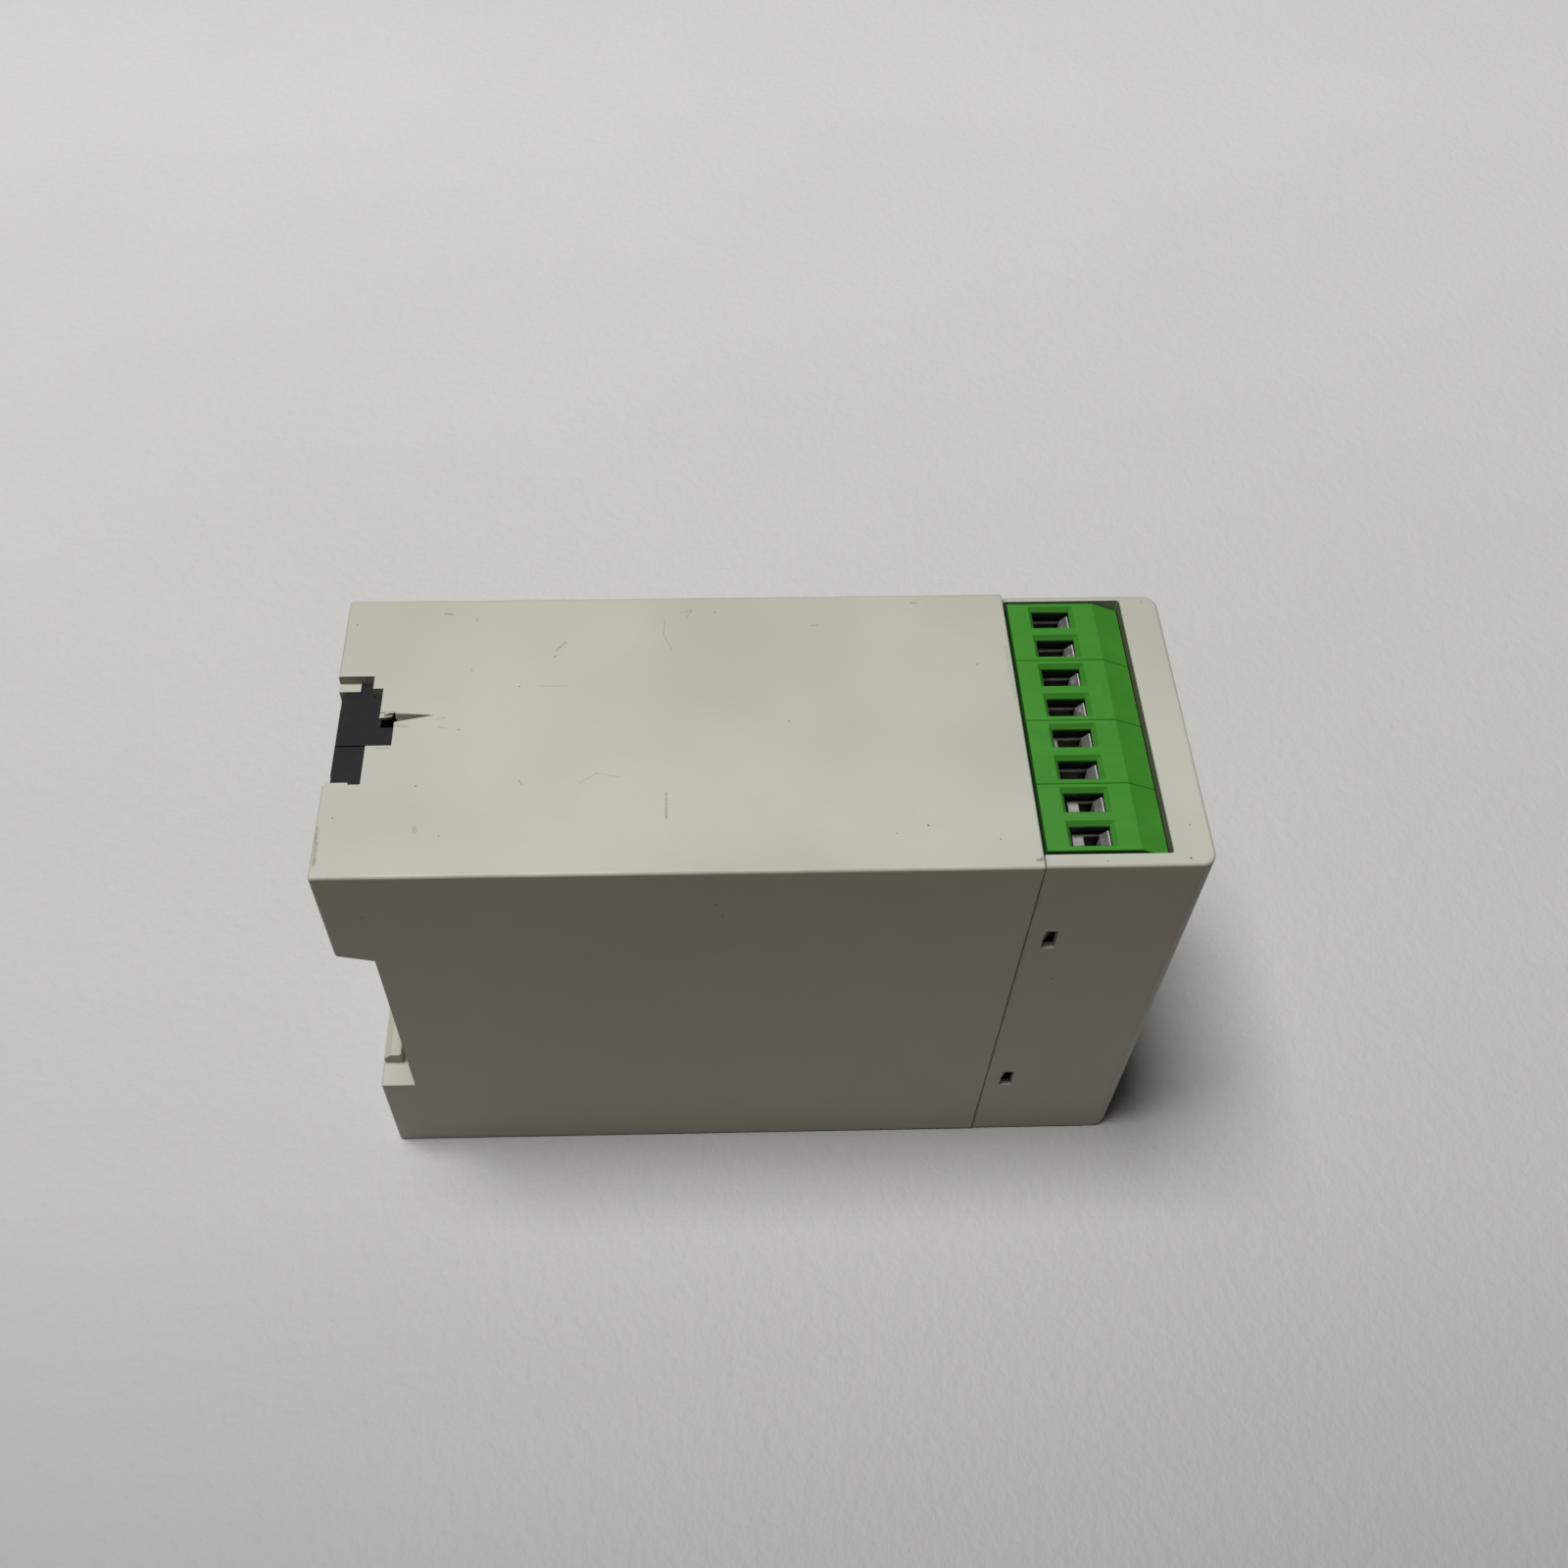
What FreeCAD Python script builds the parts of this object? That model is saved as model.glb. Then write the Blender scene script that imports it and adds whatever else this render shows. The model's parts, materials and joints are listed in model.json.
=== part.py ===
import FreeCAD, Part
import os

# Solid state relay in a two-piece moulded housing for a 35 mm rail.
# Millimetres. +X is along the rail, +Y points back towards the rail and -Y to the front,
# +Z is up. The origin is the centre of the rail seat, where the rail's flanges bear.
# Each sub-part is written to parts/NAME.step.

Vec = FreeCAD.Vector
along_x, along_y, along_z = Vec(1, 0, 0), Vec(0, 1, 0), Vec(0, 0, 1)
extra = 1.0                  # how far a cutting shape runs past what it cuts
root = 0.1                   # how far joined shapes run into each other

# ---- housing ----
half_width = 22.5            # 45 mm wide along the rail
half_height = 37.5           # 75 mm tall
rear_y = 5.0                 # back face, behind the rail seat
seam_y = -84.3               # where the front cover meets the case
seam_gap = 0.14
seam_chamfer = 0.12
front_y = -105.5             # front face
wall = 2.0
back_wall = -2.2             # inner face of the wall behind the rail seat
edge_round = 0.45            # small mould radius on the outer edges
front_corner = 2.0           # upright front corners of the cover
cover_half_width = 22.1
cover_side_wall = 1.0
cover_shift = -0.3           # the clipped cover sits a little to one side
opening_near, opening_far = -20.6, 20.9
opening_front = -100.35
opening_corner = 0.4
rib_low, rib_high = 24.6, 25.8

# ---- seat for a 35 mm rail ----
seat_bottom = -18.6
seat_top = 17.65
seat_top_rear = 19.2         # the upper flank slopes outwards
hook_half_width = 18.8
hook_top = -16.3
hook_front = 2.1             # gap from the seat to the hook, for the rail flange
hook_rear = 4.7

# ---- rail latch ----
latch_x = 0.25               # the slot is a little off the middle
latch_slot_half = 8.8
latch_neck_half = 7.4        # between the guide ribs
latch_ledge_z = 36.0         # top of the guide ribs
latch_top = 35.8
latch_tip = 15.3
flange_low = 20.2
low_end_x = -1.35            # a shallow step down in the latch's upper end
guide_front = 0.2
guide_step = 2.15
stem_half = 2.7
stem_inner = 1.5             # the stem stops short of the flap on the far side
stem_front = -3.1
ear_end = 6.7                # side ear of the stem, towards the far side
ear_front = -1.15
slot_floor = 32.7            # bottom of the stem's slot in the end wall
dig_x, dig_tip_y = 2.1, -8.9
dig_depth = 1.25
flap_thick = 0.45            # plastic pushed over the slot beside the dig
flap_droop = 0.15
window_half = 2.3
window_bottom = 22.0
peg_bottom = 30.0
peg_top = 32.0
peg_half, peg_rear = 1.7, 3.7
spigot_radius = 0.75
spigot_length = 1.2
spring_y = 2.4
spring_radius = 1.6
spring_wire = 0.45
spring_turns = 7

# ---- terminals ----
pitch = 5.08
poles_per_block = 2
blocks_per_row = 4
poles_per_row = poles_per_block * blocks_per_row
row_shift = 0.45             # the terminal rows sit a little to one side
board_face_y = -84.9         # front face of the front board
wire_face_z = 37.2           # face with the wire entries
block_depth = 11.2
block_height = 15.3
block_gap = 0.05
ridge_height = 11.7
ridge_drop = 1.6
entry_low, entry_high = 2.8, 8.9
entry_half = 1.95
funnel_inset = 0.5
funnel_depth = 0.6
chamber_half = 2.05
chamber_low, chamber_high = 2.0, 12.9
chamber_near, chamber_far = 0.95, 8.8
screw_depth = 5.6            # screw axis behind the wire face
clamp_low, clamp_high = 2.15, 9.8
clamp_half = 1.95
clamp_near, clamp_far = 2.8, 8.4
clamp_inner_half = 1.5
clamp_floor = 1.35
clamp_roof = 1.1
bar_low, bar_high = 7.35, 8.3
bar_half = 1.15
bar_near = 1.2               # end of the contact bar, bevelled to lead the wire in
leg_near, leg_far = 9.0, 9.8
pin_half = 0.5
thread_pitch = 0.5
thread_radius = 1.45
screw_head_radius = 1.85
screw_head_low, screw_head_high = 13.45, 14.95
slot_depth, slot_half = 0.75, 0.3
access_radius = 2.0
# turns that each clamp is screwed up from fully open, pole 1 to 16
turns_closed = [3.8, 4.1, 0, 1.6, 0, 0, 0, 0, 0, 0, 0, 0, 0, 0, 0, 0]

# ---- snap windows in the cover, tongues on the case ----
snap_low, snap_high = 18.0, 22.3
snap_y_rear, snap_y_front = -86.6, -88.4

tongue_low, tongue_high = 17.2, 23.1
tongue_thick = 1.55

# ---- label and light pipes ----
label_half_width, label_half_height = 18.0, 16.5
label_thick = 0.25
led_x = [-5.0, 5.0]
led_z = 21.5
pipe_radius = 1.45

# ---- boards and what stands on them ----
board_thick = 1.6
board_half_height = 35.2
front_board_half = 20.2
main_board_x = -15.0         # back face of the main board
main_board_front, main_board_rear = -81.0, -6.0
parts_x = main_board_x + board_thick    # face that carries the parts
solder_gap = 0.02            # feet stand this far off the board
channels = 4
channel_pitch = 16.0
channel_z = [(n - (channels - 1) / 2) * channel_pitch for n in range(channels)]
lead_pitch = 2.54
header_pins = 16
header_y = -76.5             # the pins' solder tails
header_half = 0.32
header_out = 1.3             # pins' distance from the board

# ---- heat sink and triacs ----
sink_face_x = 0.2
sink_thick = 3.0
sink_front, sink_rear = -62.0, -14.0
sink_half_height = 31.0
fin_count = 6
fin_thick = 1.5
fin_reach = 15.5
foot_deep = 2.5
foot_screw_y, foot_screw_z = -60.75, 22.0
triac_front, triac_rear = -36.0, -20.4
triac_half = 5.0
triac_hole_y = -23.2
triac_lead_y = -39.3
tap_radius = 1.3             # holes for the M3 screws


def box(x0, x1, y0, y1, z0, z1):
    low = Vec(min(x0, x1), min(y0, y1), min(z0, z1))
    return Part.makeBox(abs(x1 - x0), abs(y1 - y0), abs(z1 - z0), low)


def fused(shapes):
    whole = shapes[0]
    if len(shapes) > 1:
        whole = whole.fuse(shapes[1:])
    return whole.removeSplitter()


def cylinder(radius, length, base, direction):
    return Part.makeCylinder(radius, length, Vec(*base), Vec(*direction))


def prism_x(points, x0, x1):
    # a prism along X from (y, z) points
    corners = [Vec(x0, y, z) for y, z in points]
    face = Part.Face(Part.makePolygon(corners + corners[:1]))
    return face.extrude(Vec(x1 - x0, 0, 0))


def prism_z(points, z0, z1):
    # a prism along Z from (x, y) points
    corners = [Vec(x, y, z0) for x, y in points]
    face = Part.Face(Part.makePolygon(corners + corners[:1]))
    return face.extrude(Vec(0, 0, z1 - z0))


def edges_where(shape, test):
    found = []
    for edge in shape.Edges:
        if edge.Length > 1e-3 and test(edge, edge.CenterOfMass):
            found.append(edge)
    return found


def runs_along(edge, axis):
    ends = [v.Point for v in edge.Vertexes]
    if len(ends) != 2:
        return False
    span = ends[1] - ends[0]
    return abs(span.dot(axis)) > 0.999 * span.Length


def mirrored(shape):
    return shape.mirror(Vec(0, 0, 0), along_z)


def pole_x(pole):
    # centre of a pole, 1 to 16; poles 9 to 16 are the bottom row
    place = (pole - 1) % poles_per_row
    return row_shift + (place - (poles_per_row - 1) / 2) * pitch


def in_row(shape, pole):
    # moves a top-row shape made at x = 0 to its pole, in its own row
    moved = shape.translated(Vec(pole_x(pole), 0, 0))
    return mirrored(moved) if pole > poles_per_row else moved


def local_box(x_half, near, far, low, high, x_mid=0.0):
    # a box inside the top terminal row: depths from the wire face, heights from the board
    return box(x_mid - x_half, x_mid + x_half, board_face_y - low, board_face_y - high,
               wire_face_z - near, wire_face_z - far)


# ---- housing ----
def tetrahedron(corners):
    faces = []
    for skip in range(4):
        three = [Vec(*c) for i, c in enumerate(corners) if i != skip]
        faces.append(Part.Face(Part.makePolygon(three + three[:1])))
    return Part.makeSolid(Part.makeShell(faces))


def snap_tongues():
    # four tongues inside the case mouth, each with a nose that fills a window of the cover
    root_y, foot_y, tip_y = seam_y + 7.0, seam_y + 0.8, snap_y_front - 1.4
    outer = half_width - wall - 0.35
    inner = outer - tongue_thick
    nose_out = half_width - 1.2
    nose_rear = snap_y_rear - 0.12
    nose_slope = 0.5
    nose_front = snap_y_front + 0.15
    tongues = []
    for side in (-1, 1):
        profile = [(side * outer, nose_rear), (side * nose_out, nose_rear),
                   (side * nose_out, nose_rear - nose_slope), (side * outer, nose_front)]
        for up in (-1, 1):
            low, high = up * tongue_low, up * tongue_high
            arm = box(side * inner, side * outer, root_y, tip_y, low, high)
            foot = box(side * inner, side * (half_width - wall + 0.5), root_y, foot_y, low, high)
            nose = prism_z(profile, up * (snap_low + 0.35), up * (snap_high - 0.25))
            tongues.append(fused([arm, foot, nose]))
    return tongues


def board_guides():
    # ribs on the floor and roof of the case: pairs for the main board, stops for the front board
    rib = 1.2
    slack = 0.1
    guide_z, stop_z = 33.5, 33.0
    roof_z = half_height - wall + 0.5
    ribs = []
    for up in (-1, 1):
        for x0 in (main_board_x - slack - rib, main_board_x + board_thick + slack):
            ribs.append(box(x0, x0 + rib, -78.0, -8.0, up * guide_z, up * roof_z))
        for x0 in (6.0, 15.0):
            stop_y = board_face_y + board_thick
            ribs.append(box(x0, x0 + rib, stop_y, stop_y + 9.3, up * stop_z, up * roof_z))
    return ribs


def case_shell():
    # the outer shape with the rail notch, and the hollow behind its walls
    outline = [(seam_y, -half_height), (rear_y, -half_height), (rear_y, seat_bottom), (0, seat_bottom),
               (0, seat_top), (rear_y, seat_top_rear), (rear_y, half_height), (seam_y, half_height)]
    body = prism_x(outline, -half_width, half_width)
    long_edges = edges_where(body, lambda e, c: runs_along(e, along_y) and abs(c.z) > half_height - root)
    rear_upright = edges_where(body, lambda e, c: runs_along(e, along_z) and c.y > rear_y - root)
    rear_across = edges_where(body, lambda e, c: runs_along(e, along_x) and c.y > rear_y - root)
    body = body.makeFillet(edge_round, long_edges + rear_upright + rear_across)
    mouth = edges_where(body, lambda e, c: abs(c.y - seam_y) < root)
    body = body.makeChamfer(seam_chamfer, mouth)

    inner_x, inner_z = half_width - wall, half_height - wall
    hollows = [box(-inner_x, inner_x, seam_y - extra, back_wall, -inner_z, inner_z)]
    for x0, x1 in ((-inner_x, -10.5), (10.5, inner_x)):
        hollows.append(box(x0, x1, back_wall - extra, rear_y - wall, 21.5, inner_z))
    for x0 in (-inner_x, -6.2, 8.1):
        hollows.append(box(x0, x0 + 12.4, back_wall - extra, rear_y - wall, -21.0, -inner_z))
    return body.cut(hollows)


def latch_cuts():
    # the latch's slot with its two guide ribs, and the stem's slot with the side ear
    slot_low, past_top = 14.0, half_height + extra
    cuts = [
        box(-latch_slot_half, latch_slot_half, guide_front, guide_step, slot_low, past_top),
        box(-latch_neck_half, latch_neck_half, guide_step - root, rear_y + extra, slot_low, past_top),
        box(-latch_slot_half, latch_slot_half, guide_front, rear_y + extra, latch_ledge_z, past_top),
        box(-stem_half, stem_half, stem_front, guide_front + root, slot_floor, past_top),
        box(stem_half - root, ear_end, ear_front, guide_front + root, slot_floor, past_top),
    ]
    return [cut.translated(Vec(latch_x, 0, 0)) for cut in cuts]


def rail_hook():
    # the fixed hook for the rail's lower flange
    low = seat_bottom - extra
    outline = [(hook_front, low), (hook_front, hook_top + 0.2), (hook_front + 0.35, hook_top),
               (hook_rear - 1.1, hook_top), (hook_rear, hook_top - 0.9), (hook_rear, low)]
    return prism_x(outline, -hook_half_width, hook_half_width)


def latch_peg():
    # the stop in the latch's window, with a spigot for the upper end of the spring
    block = box(-peg_half, peg_half, guide_front - 0.4, peg_rear, peg_bottom, peg_top)
    base = (0, spring_y, peg_bottom - spigot_length)
    spigot = cylinder(spigot_radius, spigot_length + root, base, (0, 0, 1))
    return fused([block, spigot]).translated(Vec(latch_x, 0, 0))


def make_case():
    inner_z = half_height - wall
    stem_box = box(-4.2, ear_end + 1.6, stem_front - 1.4, back_wall + 0.5, slot_floor - 1.5, inner_z + 0.5)
    body = case_shell().fuse([stem_box] + snap_tongues() + board_guides()).cut(latch_cuts())
    # where a screwdriver has dug into the edge of the slot
    lip_y = stem_front + 0.4
    top = half_height + 0.15
    dig = tetrahedron([(dig_x - 0.95, lip_y, top), (dig_x + 0.85, lip_y, top),
                       (dig_x, lip_y, half_height - dig_depth), (dig_x + 0.35, dig_tip_y, top)])
    flap_top = half_height - flap_droop
    wall_x = latch_x + stem_half + 2 * root
    flap = prism_z([(wall_x, lip_y - root), (wall_x, ear_front), (wall_x - 1.0, ear_front + root),
                    (wall_x - 0.85, lip_y)], flap_top - flap_thick, flap_top)
    return body.cut(dig).fuse([flap, rail_hook(), latch_peg()]).removeSplitter()


def cover_openings():
    # what is cut through the cover: terminals, screw holes, snap windows and light pipes
    opening = box(opening_near - cover_shift, opening_far - cover_shift, opening_front, seam_y + extra,
                  half_height + extra, half_height - wall - extra)
    corners = edges_where(opening, lambda e, c: runs_along(e, along_z) and c.y < opening_front + root)
    opening = opening.makeFillet(opening_corner, corners)
    cuts = [opening, mirrored(opening)]
    screw_z = wire_face_z - screw_depth
    through = wall + 2 * extra
    for pole in range(1, 2 * poles_per_row + 1):
        x = pole_x(pole) - cover_shift
        z = screw_z if pole <= poles_per_row else -screw_z
        cuts.append(cylinder(access_radius, through, (x, front_y - extra, z), (0, 1, 0)))
        mouth = Vec(x, front_y - 0.01, z)
        cuts.append(Part.makeCone(access_radius + 0.35, access_radius, 0.4, mouth, along_y))
    for side in (-1, 1):
        for up in (-1, 1):
            cuts.append(box(side * (cover_half_width - cover_side_wall - extra), side * (half_width + extra),
                            snap_y_rear, snap_y_front, up * snap_low, up * snap_high))
    for x in led_x:
        base = (x - cover_shift, front_y - extra, led_z)
        cuts.append(cylinder(pipe_radius + 0.1, through, base, (0, 1, 0)))
    return cuts


def label_plate(margin, front):
    # the label's outline, larger all round by the margin for its recess
    x, z = label_half_width + margin, label_half_height + margin
    plate = box(-x, x, front, front_y + label_thick, -z, z)
    corners = edges_where(plate, lambda e, c: runs_along(e, along_y))
    return plate.makeFillet(1.0, corners)


def make_cover():
    # the front cap: open at the back, cut out at both ends for the terminals
    back_y = seam_y - seam_gap
    body = box(-cover_half_width, cover_half_width, front_y, back_y, -half_height, half_height)
    upright = edges_where(body, lambda e, c: runs_along(e, along_z) and c.y < front_y + root)
    body = body.makeFillet(front_corner, upright)
    rim = edges_where(body, lambda e, c: abs(c.z) > half_height - 0.01 and c.y < back_y - root)
    body = body.makeFillet(edge_round, rim)
    mouth = edges_where(body, lambda e, c: abs(c.y - back_y) < 0.01)
    body = body.makeChamfer(seam_chamfer, mouth)

    inner_x, inner_z = cover_half_width - cover_side_wall, half_height - wall
    cavity = box(-inner_x, inner_x, front_y + wall, seam_y + extra, -inner_z, inner_z)
    inner_edges = edges_where(cavity, lambda e, c: runs_along(e, along_z) and c.y < seam_y)
    cavity = cavity.makeFillet(0.8, inner_edges)
    body = body.cut([cavity, label_plate(0.1, front_y - extra)] + cover_openings())
    # a rib under each terminal row stiffens the front wall
    ribs = [box(-inner_x - 2 * root, inner_x + 2 * root, front_y + wall - 2 * root, opening_front - 0.4,
                up * rib_low, up * rib_high) for up in (-1, 1)]
    return body.fuse(ribs).removeSplitter().translated(Vec(cover_shift, 0, 0))


def make_label():
    return label_plate(0.0, front_y).translated(Vec(cover_shift, 0, 0))


def make_light_pipes():
    pipes = []
    for x in led_x:
        rod = cylinder(pipe_radius, 17.0, (x, front_y - 0.3, led_z), (0, 1, 0))
        tip = edges_where(rod, lambda e, c: c.y < front_y)
        rod = rod.makeFillet(0.7, tip)
        collar = cylinder(pipe_radius + 0.85, 1.0, (x, front_y + wall, led_z), (0, 1, 0))
        pipes.append(fused([rod, collar]))
    return Part.makeCompound(pipes)


# ---- rail latch ----
def make_latch():
    gap = 0.15
    past = latch_slot_half + extra
    front, step = guide_front + root, guide_step - gap
    stem_low = slot_floor + 0.5
    flange = box(-latch_slot_half + gap, latch_slot_half - gap, front, step, flange_low, latch_top)
    plate = box(-latch_neck_half + gap, latch_neck_half - gap, front, rear_y - 0.5, latch_tip, latch_top)
    stem = box(-stem_half + gap, stem_inner, stem_front + gap, step, stem_low, latch_top)
    ear = box(0, ear_end - gap, ear_front + gap, step, stem_low, latch_top)
    lead_in = prism_x([(rear_y, latch_tip - extra), (rear_y, 18.4), (hook_front + 0.3, latch_tip - 0.05),
                       (hook_front + 0.3, latch_tip - extra)], -past, past)
    throat = box(-past, past, 0, hook_front, latch_tip - extra, 18.0)
    low_end = box(-past, low_end_x, -extra, rear_y, latch_top - 0.25, latch_top + extra)
    window = box(-window_half, window_half, -extra, rear_y, window_bottom, peg_top + root)
    body = fused([flange, plate, stem, ear]).cut([lead_in, throat, low_end, window])
    thumb_ribs = [box(-5.5, 5.5, rear_y - 0.6, rear_y - 0.2, z, z + 0.6) for z in (33.0, 34.2)]
    spigot = cylinder(spigot_radius, spigot_length, (0, spring_y, window_bottom - root), (0, 0, 1))
    return body.fuse(thumb_ribs + [spigot]).removeSplitter().translated(Vec(latch_x, 0, 0))


def make_latch_spring():
    low = window_bottom + spring_wire / 2 + 0.05
    high = peg_bottom - spring_wire / 2 - 0.05
    helix = Part.makeHelix((high - low) / spring_turns, high - low, spring_radius).Edges
    begin = helix[0].FirstParameter
    circle = Part.makeCircle(spring_wire / 2, helix[0].valueAt(begin), helix[0].tangentAt(begin))
    coil = Part.Wire(helix).makePipeShell([Part.Wire([circle])], True, True)
    return coil.translated(Vec(latch_x, spring_y, low))


# ---- terminals ----
def wire_funnel(x_mid):
    # a wire entry: a bevelled mouth and a short straight throat
    rings = []
    for inset, depth in ((0.0, -0.01), (funnel_inset, funnel_depth)):
        z = wire_face_z - depth
        half = entry_half - inset
        low, high = board_face_y - entry_low - inset, board_face_y - entry_high + inset
        corners = [Vec(x_mid - half, low, z), Vec(x_mid + half, low, z),
                   Vec(x_mid + half, high, z), Vec(x_mid - half, high, z)]
        rings.append(Part.makePolygon(corners + corners[:1]))
    mouth = Part.makeLoft(rings, True, True)
    throat = local_box(entry_half - funnel_inset, funnel_depth - 0.01, chamber_near + root,
                       entry_low + funnel_inset, entry_high - funnel_inset, x_mid)
    return [mouth, throat]


def make_block():
    # a two-pole terminal housing of the top row, centred on x = 0
    top, back = wire_face_z, wire_face_z - block_depth
    base, crown = board_face_y, board_face_y - block_height
    half = (poles_per_block * pitch - block_gap) / 2
    rear_bevel = 0.8
    outline = [(base, top), (base - ridge_height, top), (crown, top - ridge_drop),
               (crown, back + rear_bevel), (crown + rear_bevel, back), (base, back)]
    body = prism_x(outline, -half, half)
    side_edges = edges_where(body, lambda e, c: abs(c.x) > half - 0.01 and c.z > top - ridge_drop)
    body = body.makeChamfer(0.1, side_edges)
    screw_z = wire_face_z - screw_depth
    bore_y = board_face_y - chamber_high + root
    head_seat_y = board_face_y - screw_head_low + 0.05
    cuts = []
    for x in (-pitch / 2, pitch / 2):
        cuts += wire_funnel(x)
        cuts.append(local_box(chamber_half, chamber_near, chamber_far, chamber_low, chamber_high, x))
        cuts.append(local_box(bar_half + root, chamber_far - root, leg_far + 0.15, -extra, bar_high + 0.3, x))
        cuts.append(cylinder(thread_radius + root, 2.0, (x, bore_y, screw_z), (0, -1, 0)))
        cuts.append(cylinder(access_radius, 3.0, (x, head_seat_y, screw_z), (0, -1, 0)))
    return body.cut(cuts).removeSplitter()


def make_screw(turns):
    # a slotted clamping screw at x = 0 of the top row, its slot turned to suit
    z = wire_face_z - screw_depth
    tip_y = board_face_y - bar_high - 0.06
    seat_y, top_y = board_face_y - screw_head_low, board_face_y - screw_head_high
    head = cylinder(screw_head_radius, seat_y - top_y, (0, seat_y, z), (0, -1, 0))
    head = head.makeFillet(0.3, edges_where(head, lambda e, c: c.y < top_y + 0.01))
    shank = cylinder(thread_radius, tip_y - seat_y + 2 * root, (0, tip_y, z), (0, -1, 0))
    shank = shank.makeChamfer(0.3, edges_where(shank, lambda e, c: c.y > tip_y - 0.01))
    slot = box(-3, 3, top_y - extra, top_y + slot_depth, z - slot_half, z + slot_half)
    screw = fused([head, shank]).cut(slot)
    screw.rotate(Vec(0, 0, z), along_y, 25.0 + 360.0 * (turns * 1.37 % 1.0))
    return screw


def make_clamp(turns):
    # a rising wire clamp at x = 0 of the top row, raised by its screw's turns
    body = local_box(clamp_half, clamp_near, clamp_far, clamp_low, clamp_high)
    body = body.makeFillet(0.4, edges_where(body, lambda e, c: runs_along(e, along_z)))
    window = local_box(clamp_inner_half, clamp_near - extra, clamp_far + extra,
                       clamp_low + clamp_floor, clamp_high - clamp_roof)
    screw_z = wire_face_z - screw_depth
    bore_y = board_face_y - clamp_high + clamp_roof + 3
    bore = cylinder(thread_radius + 0.05, 8.0, (0, bore_y, screw_z), (0, -1, 0))
    floor_y = board_face_y - clamp_low - clamp_floor
    teeth = []
    for depth in (3.6, 4.9, 6.2, 7.5):
        z = wire_face_z - depth
        teeth.append(box(-1.25, 1.25, floor_y - 0.15, floor_y + root, z, z - 0.35))
    body = body.cut([window, bore]).fuse(teeth).removeSplitter()
    return body.translated(Vec(0, -turns * thread_pitch, 0))


def make_contact_bar():
    # contact plate with its solder leg, at x = 0 of the top row
    thick = bar_high - bar_low
    low, high = board_face_y - bar_low, board_face_y - bar_high
    end, back = wire_face_z - bar_near, wire_face_z - leg_far
    plate = prism_x([(low, end - thick), (high + 0.15, end), (high, end), (high, back), (low, back)],
                    -bar_half, bar_half)
    leg = local_box(bar_half, leg_near, leg_far, 0.3, bar_low + root)
    pin = local_box(pin_half, leg_near, leg_far, -board_thick - 1.9, 0.4)
    return fused([plate, leg, pin])


# ---- boards ----
def header_z(index):
    return (index - (header_pins - 1) / 2) * lead_pitch


def make_front_board():
    y0, y1 = board_face_y, board_face_y + board_thick
    board = box(-front_board_half, front_board_half, y0, y1, -board_half_height, board_half_height)
    cuts = []
    for side in (-1, 1):
        for up in (-1, 1):
            cuts.append(box(side * 18.4, side * 21, y0 - extra, y1 + extra,
                            up * (tongue_low - 0.4), up * (tongue_high + 0.4)))
    leg_hole = local_box(pin_half + root, leg_near - root, leg_far + root, -board_thick - extra, extra)
    for pole in range(1, 2 * poles_per_row + 1):
        cuts.append(in_row(leg_hole, pole))
    x, half = parts_x + header_out, header_half + 0.08
    for i in range(header_pins):
        cuts.append(box(x - half, x + half, y0 - extra, y1 + extra, header_z(i) - half, header_z(i) + half))
    return board.cut(cuts)


def make_main_board():
    x0, x1 = main_board_x - extra, parts_x + extra
    board = box(main_board_x, parts_x, main_board_front, main_board_rear,
                -board_half_height, board_half_height)
    half = header_half + 0.08
    cuts = []
    for i in range(header_pins):
        cuts.append(box(x0, x1, header_y - half, header_y + half, header_z(i) - half, header_z(i) + half))
    half = 0.5
    for z in channel_z:
        for lead_z in (z - lead_pitch, z, z + lead_pitch):
            cuts.append(box(x0, x1, triac_lead_y - half, triac_lead_y + half, lead_z - half, lead_z + half))
    for up in (-1, 1):
        cuts.append(cylinder(tap_radius + 0.3, 5, (x0, foot_screw_y, up * foot_screw_z), (1, 0, 0)))
    corner = box(x0, x1, -10.0, main_board_rear + extra, 30.5, board_half_height + extra)
    return board.cut(cuts + [corner])


def make_connector():
    half_pitch = lead_pitch / 2
    front = main_board_front - 0.2
    strip = box(parts_x, parts_x + 2.5, front, front + 2.5,
                header_z(0) - half_pitch, header_z(header_pins - 1) + half_pitch)
    x, half = parts_x + header_out, header_half + 0.03
    holes = []
    for z in (header_z(i) for i in range(header_pins)):
        holes.append(box(x - half, x + half, front - extra, front + 2.5 + extra, z - half, z + half))
    return strip.cut(holes)


def make_connector_pins():
    # right-angled pins from the main board through the front board
    x = parts_x + header_out
    y0, y1 = header_y - header_half, header_y + header_half
    pins = []
    for i in range(header_pins):
        z0, z1 = header_z(i) - header_half, header_z(i) + header_half
        out = box(x - header_half, x + header_half, board_face_y - 1.2, y1, z0, z1)
        down = box(main_board_x - 1.2, x + header_half, y0, y1, z0, z1)
        pins.append(fused([out, down]))
    return Part.makeCompound(pins)


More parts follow.
